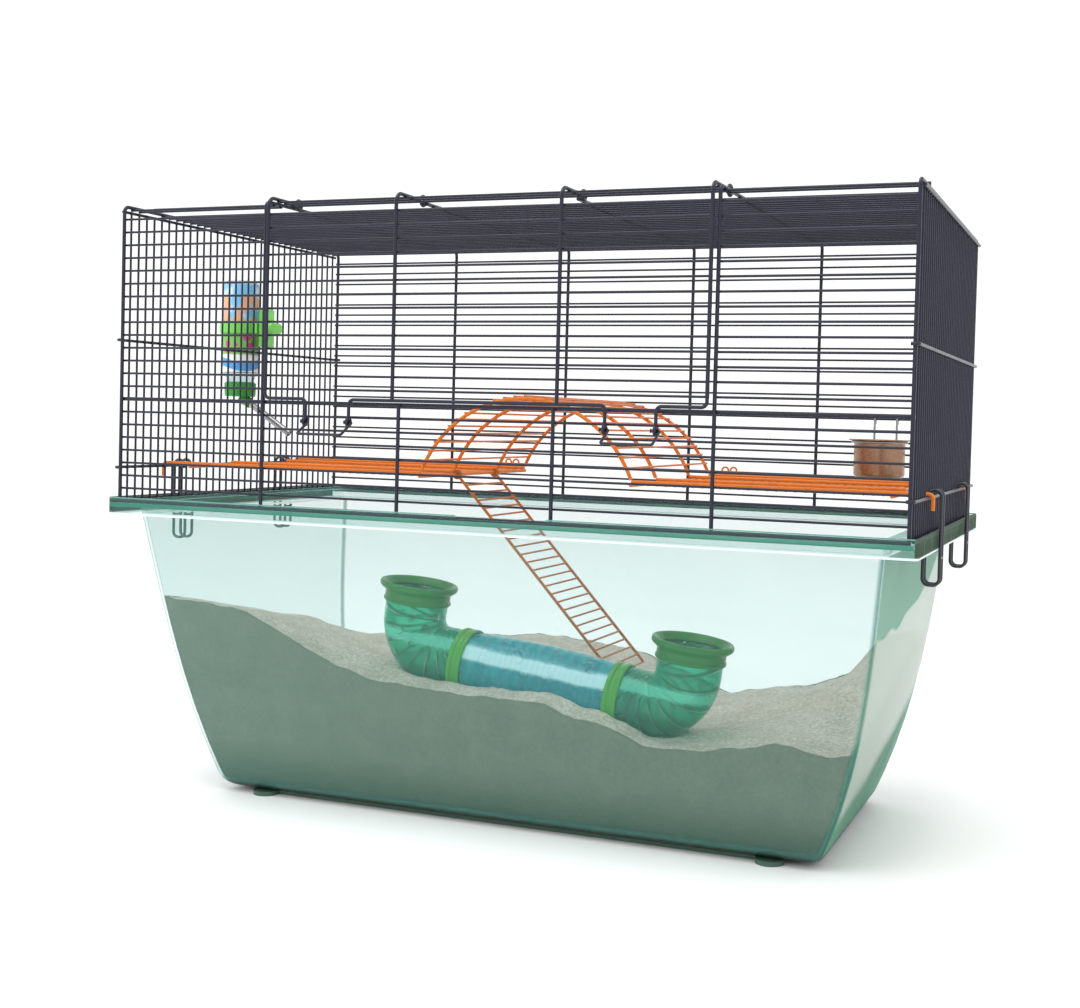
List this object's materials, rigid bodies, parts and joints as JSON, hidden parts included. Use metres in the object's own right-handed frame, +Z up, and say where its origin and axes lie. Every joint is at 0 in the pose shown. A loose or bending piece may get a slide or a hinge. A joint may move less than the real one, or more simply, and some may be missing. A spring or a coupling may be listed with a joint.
{
  "type": "hamster cage",
  "caption": "Small-rodent cage: deep clear tub with bedding and a tunnel, wire top with lift-up door, shelves, arch, ladder, bottle and bowl.",
  "frame": {"origin": "on the table, under the centre of the tub", "axes": "+Z up, the door side faces -Y, +X to the right seen from the front"},
  "size_m": [0.8506, 0.4449, 0.6032],
  "materials": {
    "tub_plastic": "gloss",
    "feet_plastic": "satin",
    "bedding_granulate": "matte",
    "black_wire": "gloss",
    "latch_wire": "gloss",
    "clip_wire": "satin",
    "shelf_wire": "gloss",
    "ladder_wire": "satin",
    "green_elbow_plastic": "gloss",
    "green_ring_plastic": "gloss",
    "lime_ring_plastic": "gloss",
    "blue_tube_plastic": "gloss",
    "bottle_plastic": "gloss",
    "label_print": "satin",
    "cap_plastic": "gloss",
    "bracket_plastic": "gloss",
    "drinking_tube_steel": "polished",
    "bowl_steel": "polished",
    "hanger_wire": "satin"
  },
  "bodies": {
    "cage": {"base_tub": "tub_plastic", "feet": "feet_plastic", "bedding": "bedding_granulate", "front_panel": "black_wire", "roof_panel": "black_wire", "back_panel": "black_wire", "left_panel": "black_wire", "right_panel": "black_wire", "left_shelf": "shelf_wire", "arch_bridge": "shelf_wire", "right_shelf": "shelf_wire", "left_mouth_ring": "green_ring_plastic", "left_elbow": "green_elbow_plastic", "left_coupling": "lime_ring_plastic", "middle_tube": "blue_tube_plastic", "right_coupling": "lime_ring_plastic", "right_elbow": "green_elbow_plastic", "right_mouth_ring": "green_ring_plastic", "bottle_bracket": "bracket_plastic", "bracket_clamp": "bracket_plastic", "bowl_hanger": "hanger_wire"},
    "door": {"door": "black_wire"},
    "latch_left": {"door_latch_left": "latch_wire"},
    "latch_right": {"door_latch_right": "latch_wire"},
    "clip_front_left": {"rim_clip_front_left": "clip_wire"},
    "clip_back_left": {"rim_clip_back_left": "clip_wire"},
    "clip_front_right": {"rim_clip_front_right": "clip_wire"},
    "clip_back_right": {"rim_clip_back_right": "clip_wire"},
    "ladder": {"ladder": "ladder_wire"},
    "bottle": {"bottle_body": "bottle_plastic", "bottle_label": "label_print", "bottle_cap": "cap_plastic", "sipper_tube": "drinking_tube_steel", "sipper_ball": "drinking_tube_steel"},
    "bowl": {"food_bowl": "bowl_steel"}
  },
  "joints": [
    {"name": "door_hinge", "type": "hinge", "parent": "cage", "child": "door", "pos_m": [0, -0.15715, 0.5972], "axis": [-1, 0, 0], "range_deg": [0, 170]},
    {"name": "latch_left_pivot", "type": "hinge", "parent": "door", "child": "latch_left", "pos_m": [-0.151, -0.2097, 0.38496], "axis": [-1, 0, 0], "range_deg": [-55, 105]},
    {"name": "latch_right_pivot", "type": "hinge", "parent": "door", "child": "latch_right", "pos_m": [0.151, -0.2097, 0.38496], "axis": [-1, 0, 0], "range_deg": [-55, 105]},
    {"name": "clip_front_left_swing", "type": "hinge", "parent": "cage", "child": "clip_front_left", "pos_m": [-0.39435, -0.09671, 0.3335], "axis": [0, 1, 0], "range_deg": [0, 95]},
    {"name": "clip_back_left_swing", "type": "hinge", "parent": "cage", "child": "clip_back_left", "pos_m": [-0.39435, 0.09671, 0.3335], "axis": [0, 1, 0], "range_deg": [0, 95]},
    {"name": "clip_front_right_swing", "type": "hinge", "parent": "cage", "child": "clip_front_right", "pos_m": [0.39435, -0.09671, 0.3335], "axis": [0, -1, 0], "range_deg": [0, 95]},
    {"name": "clip_back_right_swing", "type": "hinge", "parent": "cage", "child": "clip_back_right", "pos_m": [0.39435, 0.09671, 0.3335], "axis": [0, -1, 0], "range_deg": [0, 95]},
    {"name": "ladder_lift", "type": "hinge", "parent": "cage", "child": "ladder", "pos_m": [-0.094, 0, 0.33365], "axis": [0, -1, 0], "range_deg": [0, 40]},
    {"name": "bottle_slide", "type": "slide", "parent": "cage", "child": "bottle", "axis": [0, 0, 1], "range_m": [0, 0.055]},
    {"name": "bowl_lift", "type": "slide", "parent": "cage", "child": "bowl", "axis": [0, 0, 1], "range_m": [0, 0.06]}
  ]
}
